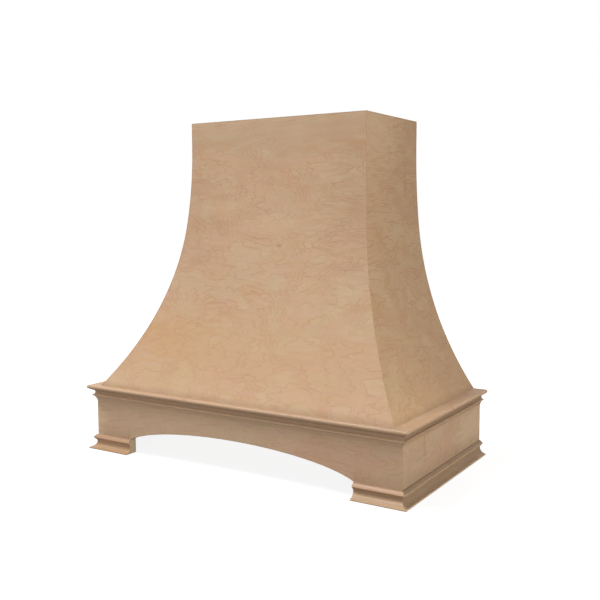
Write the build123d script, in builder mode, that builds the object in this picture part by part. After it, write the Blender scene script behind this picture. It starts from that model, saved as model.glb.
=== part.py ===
"""A flared wooden range hood cover: an apron box with an arched front, two mouldings and a
chimney of bent panels on a frame of ribs. It is open below for a range insert, open above
for its duct and open behind, where it hangs on a wall.

Frame: X runs across the hood, +Y points at the wall, +Z up. The origin is the middle of the
bottom of the hood's bounding box.
"""
from build123d import *
from math import asin, cos, radians, sin, sqrt, tan
import os

# ---------------------------------------------------------------- driving sizes, millimetres
# Whole hood
body_w = 914.4  # across the outer faces of the apron's side boards
body_d = 482.6  # from the apron's front face to the wall
total_h = 882.65  # from the bottom to the top of the chimney

# Apron
apron_h = 175.7  # height of the apron, where the chimney is seated
board_t = 19.0  # solid boards of the apron, rails and cleats
arch_half_w = 338.0  # half the clear width between the two front feet
arch_apex_z = 83.0  # top of the arch
arch_ellipse_h = 66.0  # half the height of the ellipse that the arch is a part of

# Mouldings, each a length of stock with its own section
top_trim_d = 20.0
top_trim_h = 41.3
base_trim_d = 18.4
base_trim_h = 38.1

# Chimney: straight at the top, then two tangent arcs down to the apron
chimney_top_w = 533.4
chimney_top_d = 292.1
chimney_side_ledge = 17.5  # apron's side face out past the chimney's foot
chimney_front_proud = 2.5  # chimney's foot out past the apron's front face
straight_h = 69.85  # straight part at the top
upper_arc_h = 203.2  # height of the gentle upper arc, below the straight part
side_upper_r = 2150.0
front_upper_r = 1390.0
skin_t = 9.5  # bent plywood panels

# Chimney frame
post_w = 28.0  # hip posts, measured square to the panels
rib_t = 18.0
rib_w = 46.0  # ribs, measured square to the panels
front_rib_x = 85.0
top_rail_h = 63.5
hanging_rail_h = 100.0
spreader_h = 70.0
spreader_z = 470.0  # lower edge of the back spreader
spreader_lap = 18.0  # how far the spreader laps each back rib, at its middle height

# Base frame, cleats and insert panel
base_frame_t = 18.0
base_frame_front_w = 72.0
base_frame_back_w = 60.0
base_frame_side_w = 82.0
insert_panel_t = 12.0
insert_panel_z = 95.0  # underside of the insert panel
insert_panel_gap = 0.5  # all round, between the panel and the apron
cutout_w = 700.0
cutout_d = 292.0
cutout_corner_r = 12.0
back_rail_h = 120.0
block_w = 30.0  # corner blocks
block_drop = 8.0  # corner blocks end this far below the insert panel, clear of a flange

# Holes that a stranger uses
stud_spacing = 406.4
wall_hole_r = 3.0
hanging_hole_drop = 50.0  # below the top of the hanging rail
lower_hole_rise = 19.0  # above the lower edge of the apron's back rail
insert_hole_r = 1.8
insert_hole_across = 730.0
insert_hole_deep = 320.0

# Wood screws
screw_r = 2.0
screw_head_r = 3.9
screw_sink_angle = 82.0
screw_tip_l = 4.0
screw_clear = 0.12  # radial room round shank and head
drive_w = 2.2
drive_deep = 1.3
short_screw_l = 30.0
long_screw_l = 40.0
rib_screw_l = 36.0
cross_screw_count = 4  # in each board that runs across the hood
side_cleat_screw_count = 3
side_panel_screw_count = 2  # from the insert panel into each side cleat
cleat_end = 60.0  # first screw of a row from the end of its board
frame_end = 90.0
panel_end = 120.0
side_end = 50.0
side_panel_end = 80.0
block_end = 9.0
spreader_end = 17.5
hanging_end = 16.0

# ---------------------------------------------------------------- places that follow from them
half_w = body_w / 2
inner_half_w = half_w - board_t
wall_y = (body_d + max(top_trim_d, base_trim_d)) / 2
front_y = wall_y - body_d
bay_front_y = front_y + board_t
bay_back_y = wall_y - board_t
bay_mid_y = (bay_front_y + bay_back_y) / 2
seat_z = apron_h
curve_start_z = total_h - straight_h
curve_joint_z = curve_start_z - upper_arc_h
chimney_half_w = chimney_top_w / 2
chimney_front_y = wall_y - chimney_top_d
base_frame_z = seat_z - base_frame_t
cleat_z = insert_panel_z + insert_panel_t
cleat_h = base_frame_z - cleat_z
back_rail_z = seat_z - back_rail_h
hanging_rail_z = total_h - hanging_rail_h
top_rail_z = total_h - top_rail_h
past = 2 * (top_trim_d + base_trim_d)  # how far a cutting shape runs past what it cuts
screw_sink_h = (screw_head_r - screw_r) / tan(radians(screw_sink_angle / 2))

mitre_right = Plane(origin=(half_w, front_y, 0), x_dir=(0, 0, 1), z_dir=(1, 1, 0))
mitre_left = Plane(origin=(-half_w, front_y, 0), x_dir=(0, 0, 1), z_dir=(-1, 1, 0))
towards_wall = (0, 1, 0)
towards_room = (0, -1, 0)
upward = (0, 0, 1)
downward = (0, 0, -1)

os.makedirs("parts", exist_ok=True)


def save(part, name):
    part.label = name
    export_step(part, f"parts/{name}.step")


def save_pair(right_part, right_name, left_name):
    """Write a right-hand piece and its mirror image."""
    save(right_part, right_name)
    with BuildPart() as left_piece:
        mirror(right_part, about=Plane.YZ)
    save(left_piece.part, left_name)


# ---------------------------------------------------------------- the flare of the chimney
class Flare:
    """One flared face in section. 'out' is measured outward from the straight top face."""

    def __init__(self, spread, upper_r):
        self.upper_r = upper_r
        self.turn = asin(upper_arc_h / upper_r)
        joint_out = upper_r * (1 - cos(self.turn))
        across = spread - joint_out
        down = curve_joint_z - seat_z
        lean = across * cos(self.turn) - down * sin(self.turn)
        self.lower_r = (across**2 + down**2) / (2 * lean)
        self.lower_x = joint_out + self.lower_r * cos(self.turn)
        self.lower_z = curve_joint_z + self.lower_r * sin(self.turn)

    def joint(self, inset):
        """Where the two arcs meet, on the surface that lies 'inset' behind the face."""
        reach = self.upper_r + inset
        return (self.upper_r - reach * cos(self.turn), curve_start_z - reach * sin(self.turn))

    def out(self, z, inset):
        """How far out the surface 'inset' behind the face is at height z."""
        if z >= curve_start_z:
            return -inset
        if z >= self.joint(inset)[1]:
            reach = self.upper_r + inset
            return self.upper_r - sqrt(reach**2 - (curve_start_z - z) ** 2)
        reach = self.lower_r + inset
        return self.lower_x - sqrt(reach**2 - (self.lower_z - z) ** 2)


side_flare = Flare(half_w - chimney_side_ledge - chimney_half_w, side_upper_r)
front_flare = Flare(chimney_front_y - front_y + chimney_front_proud, front_upper_r)


def on_side(out, z):
    """Place a point of the side flare in an XZ sketch."""
    return (chimney_half_w + out, z)


def on_front(out, z):
    """Place a point of the front flare in a YZ sketch."""
    return (chimney_front_y - out, z)


def flare_strip(flare, place, outer, inner):
    """Fill the strip between two depths behind a flared face, from the seat to the top."""

    def stops(inset):
        joint_out, joint_z = flare.joint(inset)
        heights = (
            total_h,
            curve_start_z,
            (curve_start_z + joint_z) / 2,
            joint_z,
            (joint_z + seat_z) / 2,
            seat_z,
        )
        return [place(flare.out(z, inset), z) for z in heights]

    face_side = stops(outer)
    back_side = stops(inner)
    with BuildLine() as outline:
        for top, start, upper_mid, joint, lower_mid, foot in (face_side, back_side):
            Line(top, start)
            ThreePointArc(start, upper_mid, joint)
            ThreePointArc(joint, lower_mid, foot)
        Line(face_side[0], back_side[0])
        Line(face_side[-1], back_side[-1])
    make_face(outline.edges())


# The mitre at a front corner of the chimney is a surface through the hip line, level and at
# 45 degrees everywhere. In a sketch that looks along it, the hip is a curve near the middle.
hip_view = Plane(origin=(0, 0, 0), x_dir=(1, 1, 0), z_dir=(1, -1, 0))
hip_stop_count = 16


def hip_point(z):
    x = chimney_half_w + side_flare.out(z, 0)
    y = chimney_front_y - front_flare.out(z, 0)
    return ((x + y) / sqrt(2), z)


def hip_cutter(far):
    """A block bounded by the right mitre, on its front side (far < 0) or wall side (far > 0)."""
    low = hip_point(seat_z)
    start = hip_point(curve_start_z)
    top = hip_point(total_h)
    step = (curve_start_z - seat_z) / hip_stop_count
    heights = [seat_z + step * i for i in range(hip_stop_count + 1)]
    with BuildPart() as cutter:
        with BuildSketch(hip_view):
            with BuildLine():
                Spline([hip_point(z) for z in heights])
                Line(start, top)
                Line(top, (top[0], total_h + past))
                Line((top[0], total_h + past), (far, total_h + past))
                Line((far, total_h + past), (far, seat_z - past))
                Line((far, seat_z - past), (low[0], seat_z - past))
                Line((low[0], seat_z - past), low)
            make_face()
        extrude(amount=body_w, both=True)
    return cutter.part


behind_right_hip = hip_cutter(body_w)
before_right_hip = hip_cutter(-body_w)


# ---------------------------------------------------------------- screws and their holes
def heads_at(points, out_of_head):
    return [Plane(origin=point, z_dir=out_of_head) for point in points]


def sink_holes(points, out_of_head, through):
    """Countersunk clearance holes in the piece that the screw heads sit in."""
    with Locations(*heads_at(points, out_of_head)):
        CounterSinkHole(
            radius=screw_r + screw_clear,
            counter_sink_radius=screw_head_r + screw_clear,
            depth=through,
            counter_sink_angle=screw_sink_angle,
        )


def pilot_holes(points, out_of_head, length):
    """Blind holes for the shanks, drilled from the same points as the heads."""
    with Locations(*heads_at(points, out_of_head)):
        Hole(radius=screw_r + screw_clear, depth=length + screw_clear)


def screw(length):
    """A countersunk wood screw with its head at the origin, pointing down."""
    with BuildPart() as one:
        with BuildSketch(Plane.XZ):
            with BuildLine():
                Polyline(
                    (0, 0),
                    (screw_head_r, 0),
                    (screw_r, -screw_sink_h),
                    (screw_r, screw_tip_l - length),
                    (0, -length),
                    (0, 0),
                )
            make_face()
        revolve(axis=Axis.Z)
        with BuildSketch(Plane.XY):
            Rectangle(drive_w, drive_w)
        extrude(amount=-drive_deep, mode=Mode.SUBTRACT)
    return one.part


def save_screws(name, *groups):
    """Write one node of screws. Each group is (head points, direction, length)."""
    with BuildPart() as screws:
        for points, out_of_head, length in groups:
            with Locations(*heads_at(points, out_of_head)):
                add(screw(length))
    save(screws.part, name)


def evenly(count, half_length):
    """Places along a board, from one end of a run to the other."""
    return [half_length * (2 * i / (count - 1) - 1) for i in range(count)]


# ---------------------------------------------------------------- screw places
cleat_mid_z = cleat_z + cleat_h / 2
cleat_mid = board_t / 2  # middle of a cleat's thickness
side_cleat_half = (bay_back_y - bay_front_y) / 2 - board_t
cleat_places = evenly(cross_screw_count, inner_half_w - cleat_end)
frame_places = evenly(cross_screw_count, inner_half_w - frame_end)
panel_places = evenly(cross_screw_count, inner_half_w - panel_end)
side_cleat_places = evenly(side_cleat_screw_count, side_cleat_half - side_end)
side_panel_places = evenly(side_panel_screw_count, side_cleat_half - side_panel_end)

front_cleat_heads = [(x, bay_front_y + board_t, cleat_mid_z) for x in cleat_places]
back_cleat_heads = [(x, bay_back_y - board_t, cleat_mid_z) for x in cleat_places]
side_cleat_heads = [
    (inner_half_w - board_t, bay_mid_y + y, cleat_mid_z) for y in side_cleat_places
]
front_frame_heads = [(x, bay_front_y + cleat_mid, seat_z) for x in frame_places]
back_frame_heads = [(x, bay_back_y - cleat_mid, seat_z) for x in frame_places]
front_panel_heads = [(x, bay_front_y + cleat_mid, insert_panel_z) for x in panel_places]
back_panel_heads = [(x, bay_back_y - cleat_mid, insert_panel_z) for x in panel_places]
side_panel_heads = [
    (inner_half_w - cleat_mid, bay_mid_y + y, insert_panel_z) for y in side_panel_places
]

# Ribs stand on the base frame. Each foot screw rises into the rib behind its leaning face.
side_rib_y = (chimney_front_y + skin_t + post_w + bay_back_y) / 2
rib_bite_z = base_frame_z + rib_screw_l
front_rib_foot_y = (
    on_front(front_flare.out(rib_bite_z, skin_t), 0)[0]
    + on_front(front_flare.out(seat_z, skin_t + rib_w), 0)[0]
) / 2
side_rib_foot_x = (
    on_side(side_flare.out(rib_bite_z, skin_t), 0)[0]
    + on_side(side_flare.out(seat_z, skin_t + rib_w), 0)[0]
) / 2
front_rib_heads = [(x, front_rib_foot_y, base_frame_z) for x in (-front_rib_x, front_rib_x)]
side_rib_head = [(side_rib_foot_x, side_rib_y, base_frame_z)]

# Back spreader, lapped on the back ribs
spreader_mid_z = spreader_z + spreader_h / 2
rib_back_edge = chimney_half_w + side_flare.out(spreader_mid_z, skin_t + rib_w)
spreader_half = rib_back_edge + spreader_lap
spreader_front_y = wall_y - rib_t - board_t
spreader_heads = [
    (rib_back_edge + spreader_lap / 2, spreader_front_y, z)
    for z in (spreader_z + spreader_end, spreader_z + spreader_h - spreader_end)
]

# Hanging rail, screwed from behind into the top side rails
hanging_heads = [
    (chimney_half_w - skin_t - board_t / 2, wall_y, z)
    for z in (top_rail_z + hanging_end, total_h - hanging_end)
]

# Corner blocks: an upper screw into the side board, a lower one into the front or back
block_top_z = insert_panel_z - block_drop
block_reach_x = inner_half_w - block_w
block_mid_x = inner_half_w - block_w / 2
block_high_z = block_top_z - block_end
front_block_y = bay_front_y + block_w
rear_block_y = bay_back_y - block_w
front_block_side_head = [(block_reach_x, front_block_y - block_w / 2, block_high_z)]
front_block_front_head = [(block_mid_x, front_block_y, block_end)]
rear_block_side_head = [(block_reach_x, rear_block_y + block_w / 2, block_high_z)]
rear_block_back_head = [(block_mid_x, rear_block_y, back_rail_z + block_end)]


def mirrored(points):
    return [(-x, y, z) for x, y, z in points]


# ---------------------------------------------------------------- apron
def mitre_ends():
    """Cut both ends of a front piece to the two corner mitres."""
    split(bisect_by=mitre_right, keep=Keep.BOTTOM)
    split(bisect_by=mitre_left, keep=Keep.BOTTOM)


arch_centre_z = arch_apex_z - arch_ellipse_h
arch_spring_rise = (base_trim_h - arch_centre_z) / arch_ellipse_h
arch_ellipse_w = arch_half_w / sqrt(1 - arch_spring_rise**2)

with BuildPart() as apron_front:
    with BuildSketch(Plane.XZ.offset(-front_y)):
        with Locations((0, apron_h / 2)):
            Rectangle(body_w, apron_h)
    extrude(amount=-board_t)
    with BuildSketch(Plane.XZ.offset(-front_y)):
        with Locations((0, arch_centre_z)):
            Ellipse(arch_ellipse_w, arch_ellipse_h)
        Rectangle(2 * arch_half_w, 2 * arch_apex_z, mode=Mode.INTERSECT)
        Rectangle(2 * arch_half_w, 2 * base_trim_h)
    extrude(amount=-board_t, mode=Mode.SUBTRACT)
    mitre_ends()
    pilot_holes(front_cleat_heads, towards_wall, short_screw_l)
    pilot_holes(front_block_front_head, towards_wall, long_screw_l)
    pilot_holes(mirrored(front_block_front_head), towards_wall, long_screw_l)
save(apron_front.part, "apron_front")

with BuildPart() as apron_right:
    with BuildSketch(Plane.XZ.offset(-wall_y)):
        with Locations((half_w - board_t / 2, apron_h / 2)):
            Rectangle(board_t, apron_h)
    extrude(amount=body_d)
    split(bisect_by=mitre_right, keep=Keep.TOP)
    pilot_holes(side_cleat_heads, (-1, 0, 0), short_screw_l)
    pilot_holes(front_block_side_head, (-1, 0, 0), long_screw_l)
    pilot_holes(rear_block_side_head, (-1, 0, 0), long_screw_l)
save_pair(apron_right.part, "apron_right", "apron_left")

with BuildPart() as apron_back_rail:
    with BuildSketch(Plane.XZ.offset(-wall_y)):
        with Locations((0, back_rail_z + back_rail_h / 2)):
            Rectangle(2 * inner_half_w, back_rail_h)
    extrude(amount=board_t)
    with Locations(
        *heads_at(
            [(x, wall_y, back_rail_z + lower_hole_rise) for x in evenly(2, stud_spacing / 2)],
            towards_wall,
        )
    ):
        Hole(radius=wall_hole_r, depth=board_t)
    pilot_holes(back_cleat_heads, towards_room, short_screw_l)
    pilot_holes(rear_block_back_head, towards_room, long_screw_l)
    pilot_holes(mirrored(rear_block_back_head), towards_room, long_screw_l)
save(apron_back_rail.part, "apron_back_rail")

with BuildPart() as right_front_block:
    with BuildSketch(Plane.XY):
        with Locations((block_mid_x, front_block_y - block_w / 2)):
            Rectangle(block_w, block_w)
    extrude(amount=block_top_z)
    sink_holes(front_block_side_head, (-1, 0, 0), block_w)
    sink_holes(front_block_front_head, towards_wall, block_w)
save_pair(right_front_block.part, "right_front_block", "left_front_block")

with BuildPart() as right_rear_block:
    with BuildSketch(Plane.XY.offset(back_rail_z)):
        with Locations((block_mid_x, rear_block_y + block_w / 2)):
            Rectangle(block_w, block_w)
    extrude(amount=block_top_z - back_rail_z)
    sink_holes(rear_block_side_head, (-1, 0, 0), block_w)
    sink_holes(rear_block_back_head, towards_room, block_w)
save_pair(right_rear_block.part, "right_rear_block", "left_rear_block")


# ---------------------------------------------------------------- mouldings
def top_trim_section(place):
    """Section of the top moulding: cove, sharp bead, deep cove and bullnose under a flat top."""

    def at(out, up):
        return place(out * top_trim_d, seat_z - top_trim_h + up * top_trim_h)

    back_low = at(0, 0)
    lip = at(0.05, 0)
    bead_under = at(0.50, 0.315)
    bead_over = at(0.48, 0.358)
    cove_low = at(0.32, 0.40)
    cove_high = at(0.40, 0.655)
    nose_low = at(0.88, 0.783)
    nose_high = at(0.76, 1)
    back_high = at(0, 1)
    with BuildLine() as outline:
        Line(back_low, lip)
        ThreePointArc(lip, at(0.195, 0.18), bead_under)
        ThreePointArc(bead_under, at(0.525, 0.336), bead_over)
        Line(bead_over, cove_low)
        ThreePointArc(cove_low, at(0.20, 0.52), cove_high)
        ThreePointArc(cove_high, at(0.625, 0.708), nose_low)
        ThreePointArc(nose_low, at(1, 0.884), nose_high)
        Line(nose_high, back_high)
        Line(back_high, back_low)
    make_face(outline.edges())


def base_trim_section(place):
    """Section of the base moulding: square nose, long cove and a rounded bead on top."""

    def at(out, up):
        return place(out * base_trim_d, up * base_trim_h)

    back_low = at(0, 0)
    toe = at(1, 0)
    toe_top = at(1, 0.06)
    cove_low = at(0.95, 0.084)
    cove_deep = at(0.125, 0.49)
    bead_low = at(0.27, 0.63)
    bead_under = at(0.50, 0.752)
    bead_over = at(0.50, 0.812)
    lip = at(0.03, 1)
    back_high = at(0, 1)
    with BuildLine() as outline:
        Line(back_low, toe)
        Line(toe, toe_top)
        Line(toe_top, cove_low)
        ThreePointArc(cove_low, at(0.36, 0.225), cove_deep)
        ThreePointArc(cove_deep, at(0.163, 0.562), bead_low)
        Line(bead_low, bead_under)
        ThreePointArc(bead_under, at(0.54, 0.782), bead_over)
        ThreePointArc(bead_over, at(0.335, 0.914), lip)
        Line(lip, back_high)
        Line(back_high, back_low)
    make_face(outline.edges())


def off_front(out, z):
    """Place a moulding's section in a YZ sketch, standing out from the apron's front."""
    return (front_y - out, z)


def off_side(out, z):
    """Place a moulding's section in an XZ sketch, standing out from the apron's right side."""
    return (half_w + out, z)


with BuildPart() as top_moulding_front:
    with BuildSketch(Plane.YZ):
        top_trim_section(off_front)
    extrude(amount=half_w + past, both=True)
    mitre_ends()
save(top_moulding_front.part, "top_moulding_front")

with BuildPart() as top_moulding_right:
    with BuildSketch(Plane.XZ.offset(-wall_y)):
        top_trim_section(off_side)
    extrude(amount=body_d + past)
    split(bisect_by=mitre_right, keep=Keep.TOP)
save_pair(top_moulding_right.part, "top_moulding_right", "top_moulding_left")

with BuildPart() as base_moulding_right:
    with BuildSketch(Plane.XZ.offset(-wall_y)):
        base_trim_section(off_side)
    extrude(amount=body_d + past)
    split(bisect_by=mitre_right, keep=Keep.TOP)
save_pair(base_moulding_right.part, "base_moulding_right", "base_moulding_left")

with BuildPart() as base_return_right:
    with BuildSketch(Plane.YZ.offset(arch_half_w)):
        base_trim_section(off_front)
    extrude(amount=half_w - arch_half_w + past)
    split(bisect_by=mitre_right, keep=Keep.BOTTOM)
save_pair(base_return_right.part, "base_return_right", "base_return_left")


# ---------------------------------------------------------------- cleats and base frame
def cross_board(y_low, y_high, z_low, z_high, half_length):
    """A plain board that runs across the hood."""
    with BuildSketch(Plane.XY.offset(z_low)) as outline:
        with Locations((0, (y_low + y_high) / 2)):
            Rectangle(2 * half_length, y_high - y_low)
    extrude(outline.sketch, amount=z_high - z_low)


with BuildPart() as front_cleat:
    cross_board(bay_front_y, bay_front_y + board_t, cleat_z, base_frame_z, inner_half_w)
    sink_holes(front_cleat_heads, towards_wall, board_t)
    pilot_holes(front_frame_heads, upward, long_screw_l)
    pilot_holes(front_panel_heads, downward, short_screw_l)
save(front_cleat.part, "front_cleat")

with BuildPart() as back_cleat:
    cross_board(bay_back_y - board_t, bay_back_y, cleat_z, base_frame_z, inner_half_w)
    sink_holes(back_cleat_heads, towards_room, board_t)
    pilot_holes(back_frame_heads, upward, long_screw_l)
    pilot_holes(back_panel_heads, downward, short_screw_l)
save(back_cleat.part, "back_cleat")

with BuildPart() as right_cleat:
    with BuildSketch(Plane.XY.offset(cleat_z)):
        with Locations((inner_half_w - board_t / 2, bay_mid_y)):
            Rectangle(board_t, 2 * side_cleat_half)
    extrude(amount=cleat_h)
    sink_holes(side_cleat_heads, (-1, 0, 0), board_t)
    pilot_holes(side_panel_heads, downward, short_screw_l)
save_pair(right_cleat.part, "right_cleat", "left_cleat")

frame_front_end_y = bay_front_y + base_frame_front_w
frame_back_end_y = bay_back_y - base_frame_back_w

with BuildPart() as base_frame_front:
    cross_board(bay_front_y, frame_front_end_y, base_frame_z, seat_z, inner_half_w)
    sink_holes(front_frame_heads, upward, base_frame_t)
    sink_holes(front_rib_heads, downward, base_frame_t)
save(base_frame_front.part, "base_frame_front")

with BuildPart() as base_frame_back:
    cross_board(frame_back_end_y, bay_back_y, base_frame_z, seat_z, inner_half_w)
    sink_holes(back_frame_heads, upward, base_frame_t)
save(base_frame_back.part, "base_frame_back")

with BuildPart() as base_frame_right:
    with BuildSketch(Plane.XY.offset(base_frame_z)):
        with Locations(
            (inner_half_w - base_frame_side_w / 2, (frame_front_end_y + frame_back_end_y) / 2)
        ):
            Rectangle(base_frame_side_w, frame_back_end_y - frame_front_end_y)
    extrude(amount=base_frame_t)
    sink_holes(side_rib_head, downward, base_frame_t)
save_pair(base_frame_right.part, "base_frame_right", "base_frame_left")

with BuildPart() as insert_panel:
    with BuildSketch(Plane.XY.offset(insert_panel_z)):
        with Locations((0, bay_mid_y)):
            Rectangle(
                2 * (inner_half_w - insert_panel_gap),
                bay_back_y - bay_front_y - 2 * insert_panel_gap,
            )
            RectangleRounded(cutout_w, cutout_d, cutout_corner_r, mode=Mode.SUBTRACT)
    extrude(amount=insert_panel_t)
    insert_holes = [
        (x, bay_mid_y + y, insert_panel_z)
        for x in evenly(2, insert_hole_across / 2)
        for y in evenly(2, insert_hole_deep / 2)
    ]
    with Locations(*heads_at(insert_holes, downward)):
        Hole(radius=insert_hole_r, depth=insert_panel_t)
    sink_holes(front_panel_heads, downward, insert_panel_t)
    sink_holes(back_panel_heads, downward, insert_panel_t)
    sink_holes(side_panel_heads, downward, insert_panel_t)
    sink_holes(mirrored(side_panel_heads), downward, insert_panel_t)
save(insert_panel.part, "insert_panel")

# ---------------------------------------------------------------- chimney panels
with BuildPart() as chimney_front_panel:
    with BuildSketch(Plane.YZ):
        flare_strip(front_flare, on_front, 0, skin_t)
    extrude(amount=half_w, both=True)
    add(behind_right_hip, mode=Mode.SUBTRACT)
    mirrored_hip = mirror(behind_right_hip, about=Plane.YZ, mode=Mode.PRIVATE)
    add(mirrored_hip, mode=Mode.SUBTRACT)
save(chimney_front_panel.part, "chimney_front_panel")

with BuildPart() as chimney_right_panel:
    with BuildSketch(Plane.XZ.offset(-wall_y)):
        flare_strip(side_flare, on_side, 0, skin_t)
    extrude(amount=body_d + past)
    add(before_right_hip, mode=Mode.SUBTRACT)
save_pair(chimney_right_panel.part, "chimney_right_panel", "chimney_left_panel")

# ---------------------------------------------------------------- chimney frame
with BuildPart() as right_hip_post:
    with BuildSketch(Plane.YZ):
        flare_strip(front_flare, on_front, skin_t, skin_t + post_w)
    extrude(amount=half_w)
    with BuildSketch(Plane.XZ.offset(-wall_y)):
        flare_strip(side_flare, on_side, skin_t, skin_t + post_w)
    extrude(amount=body_d + past, mode=Mode.INTERSECT)
save_pair(right_hip_post.part, "right_hip_post", "left_hip_post")

with BuildPart() as right_front_rib:
    with BuildSketch(Plane.YZ.offset(front_rib_x - rib_t / 2)):
        flare_strip(front_flare, on_front, skin_t, skin_t + rib_w)
    extrude(amount=rib_t)
    split(bisect_by=Plane.XY.offset(top_rail_z), keep=Keep.BOTTOM)
    pilot_holes(front_rib_heads[1:], downward, rib_screw_l)
save_pair(right_front_rib.part, "right_front_rib", "left_front_rib")

with BuildPart() as right_side_rib:
    with BuildSketch(Plane.XZ.offset(-side_rib_y - rib_t / 2)):
        flare_strip(side_flare, on_side, skin_t, skin_t + rib_w)
    extrude(amount=rib_t)
    split(bisect_by=Plane.XY.offset(top_rail_z), keep=Keep.BOTTOM)
    pilot_holes(side_rib_head, downward, rib_screw_l)
save_pair(right_side_rib.part, "right_side_rib", "left_side_rib")

with BuildPart() as right_back_rib:
    with BuildSketch(Plane.XZ.offset(-wall_y)):
        flare_strip(side_flare, on_side, skin_t, skin_t + rib_w)
    extrude(amount=rib_t)
    split(bisect_by=Plane.XY.offset(hanging_rail_z), keep=Keep.BOTTOM)
    pilot_holes(spreader_heads, towards_room, short_screw_l)
save_pair(right_back_rib.part, "right_back_rib", "left_back_rib")

top_inside_half = chimney_half_w - skin_t
top_inside_front_y = chimney_front_y + skin_t

with BuildPart() as top_front_rail:
    cross_board(
        top_inside_front_y,
        top_inside_front_y + board_t,
        top_rail_z,
        total_h,
        top_inside_half - post_w,
    )
save(top_front_rail.part, "top_front_rail")

with BuildPart() as hanging_rail:
    cross_board(bay_back_y, wall_y, hanging_rail_z, total_h, top_inside_half)
    with Locations(
        *heads_at(
            [(x, wall_y, total_h - hanging_hole_drop) for x in evenly(2, stud_spacing / 2)],
            towards_wall,
        )
    ):
        Hole(radius=wall_hole_r, depth=board_t)
    sink_holes(hanging_heads, towards_wall, board_t)
    sink_holes(mirrored(hanging_heads), towards_wall, board_t)
save(hanging_rail.part, "hanging_rail")

with BuildPart() as top_right_rail:
    with BuildSketch(Plane.XY.offset(top_rail_z)):
        with Locations(
            (
                top_inside_half - board_t / 2,
                (top_inside_front_y + post_w + bay_back_y) / 2,
            )
        ):
            Rectangle(board_t, bay_back_y - top_inside_front_y - post_w)
    extrude(amount=top_rail_h)
    pilot_holes(hanging_heads, towards_wall, long_screw_l)
save_pair(top_right_rail.part, "top_right_rail", "top_left_rail")

with BuildPart() as back_spreader:
    cross_board(
        spreader_front_y,
        spreader_front_y + board_t,
        spreader_z,
        spreader_z + spreader_h,
        spreader_half,
    )
    sink_holes(spreader_heads, towards_room, board_t)
    sink_holes(mirrored(spreader_heads), towards_room, board_t)
save(back_spreader.part, "back_spreader")

# ---------------------------------------------------------------- screws
save_screws(
    "cleat_screws",
    (front_cleat_heads, towards_wall, short_screw_l),
    (back_cleat_heads, towards_room, short_screw_l),
    (side_cleat_heads, (-1, 0, 0), short_screw_l),
    (mirrored(side_cleat_heads), (1, 0, 0), short_screw_l),
)
save_screws(
    "base_frame_screws",
    (front_frame_heads, upward, long_screw_l),
    (back_frame_heads, upward, long_screw_l),
)
save_screws(
    "insert_panel_screws",
    (front_panel_heads, downward, short_screw_l),
    (back_panel_heads, downward, short_screw_l),
    (side_panel_heads, downward, short_screw_l),
    (mirrored(side_panel_heads), downward, short_screw_l),
)
save_screws(
    "rib_screws",
    (front_rib_heads, downward, rib_screw_l),
    (side_rib_head, downward, rib_screw_l),
    (mirrored(side_rib_head), downward, rib_screw_l),
)
save_screws(
    "spreader_screws",
    (spreader_heads, towards_room, short_screw_l),
    (mirrored(spreader_heads), towards_room, short_screw_l),
)
save_screws(
    "hanging_rail_screws",
    (hanging_heads, towards_wall, long_screw_l),
    (mirrored(hanging_heads), towards_wall, long_screw_l),
)
save_screws(
    "block_screws",
    (front_block_side_head, (-1, 0, 0), long_screw_l),
    (mirrored(front_block_side_head), (1, 0, 0), long_screw_l),
    (front_block_front_head, towards_wall, long_screw_l),
    (mirrored(front_block_front_head), towards_wall, long_screw_l),
    (rear_block_side_head, (-1, 0, 0), long_screw_l),
    (mirrored(rear_block_side_head), (1, 0, 0), long_screw_l),
    (rear_block_back_head, towards_room, long_screw_l),
    (mirrored(rear_block_back_head), towards_room, long_screw_l),
)
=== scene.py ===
"""Looks of a flared wooden range hood cover in unfinished maple, on a pale studio floor.

Metres, in the part's own frame: X runs across the hood, +Y points at the wall, Z is up.
"""
import math

import bpy
from mathutils import Matrix, Vector


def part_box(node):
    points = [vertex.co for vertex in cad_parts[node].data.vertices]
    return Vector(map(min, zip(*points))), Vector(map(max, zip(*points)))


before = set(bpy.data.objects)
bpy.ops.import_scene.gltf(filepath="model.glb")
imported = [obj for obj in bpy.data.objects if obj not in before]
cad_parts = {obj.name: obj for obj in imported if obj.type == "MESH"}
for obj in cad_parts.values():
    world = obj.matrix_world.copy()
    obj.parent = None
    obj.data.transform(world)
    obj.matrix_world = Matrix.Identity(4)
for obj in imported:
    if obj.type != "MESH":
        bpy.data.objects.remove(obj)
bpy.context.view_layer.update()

MM = 0.001

# -------- sizes of the hood
half_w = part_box("apron_right")[1].x
wall_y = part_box("apron_right")[1].y
seat_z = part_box("apron_right")[1].z
total_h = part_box("chimney_front_panel")[1].z
top_trim_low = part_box("top_moulding_front")[0].z
base_trim_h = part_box("base_moulding_right")[1].z
skin_t = 9.5 * MM  # thickness of the bent panels
chimney_half_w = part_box("hanging_rail")[1].x + skin_t
chimney_front_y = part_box("top_front_rail")[0].y - skin_t
chimney_side_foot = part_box("chimney_right_panel")[1].x
chimney_front_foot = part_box("chimney_front_panel")[0].y

# The chimney's faces: straight at the top, then two tangent arcs
straight_h = 69.85 * MM
upper_arc_h = 203.2 * MM
side_upper_r = 2150 * MM
front_upper_r = 1390 * MM
curve_start_z = total_h - straight_h
curve_joint_z = curve_start_z - upper_arc_h

# The arch in the apron's front board, a part of an ellipse
arch_half_w = 338 * MM
arch_apex_z = 83 * MM
arch_ellipse_h = 66 * MM
arch_centre_z = arch_apex_z - arch_ellipse_h
arch_ellipse_w = arch_half_w / math.sqrt(1 - ((base_trim_h - arch_centre_z) / arch_ellipse_h) ** 2)


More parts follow.
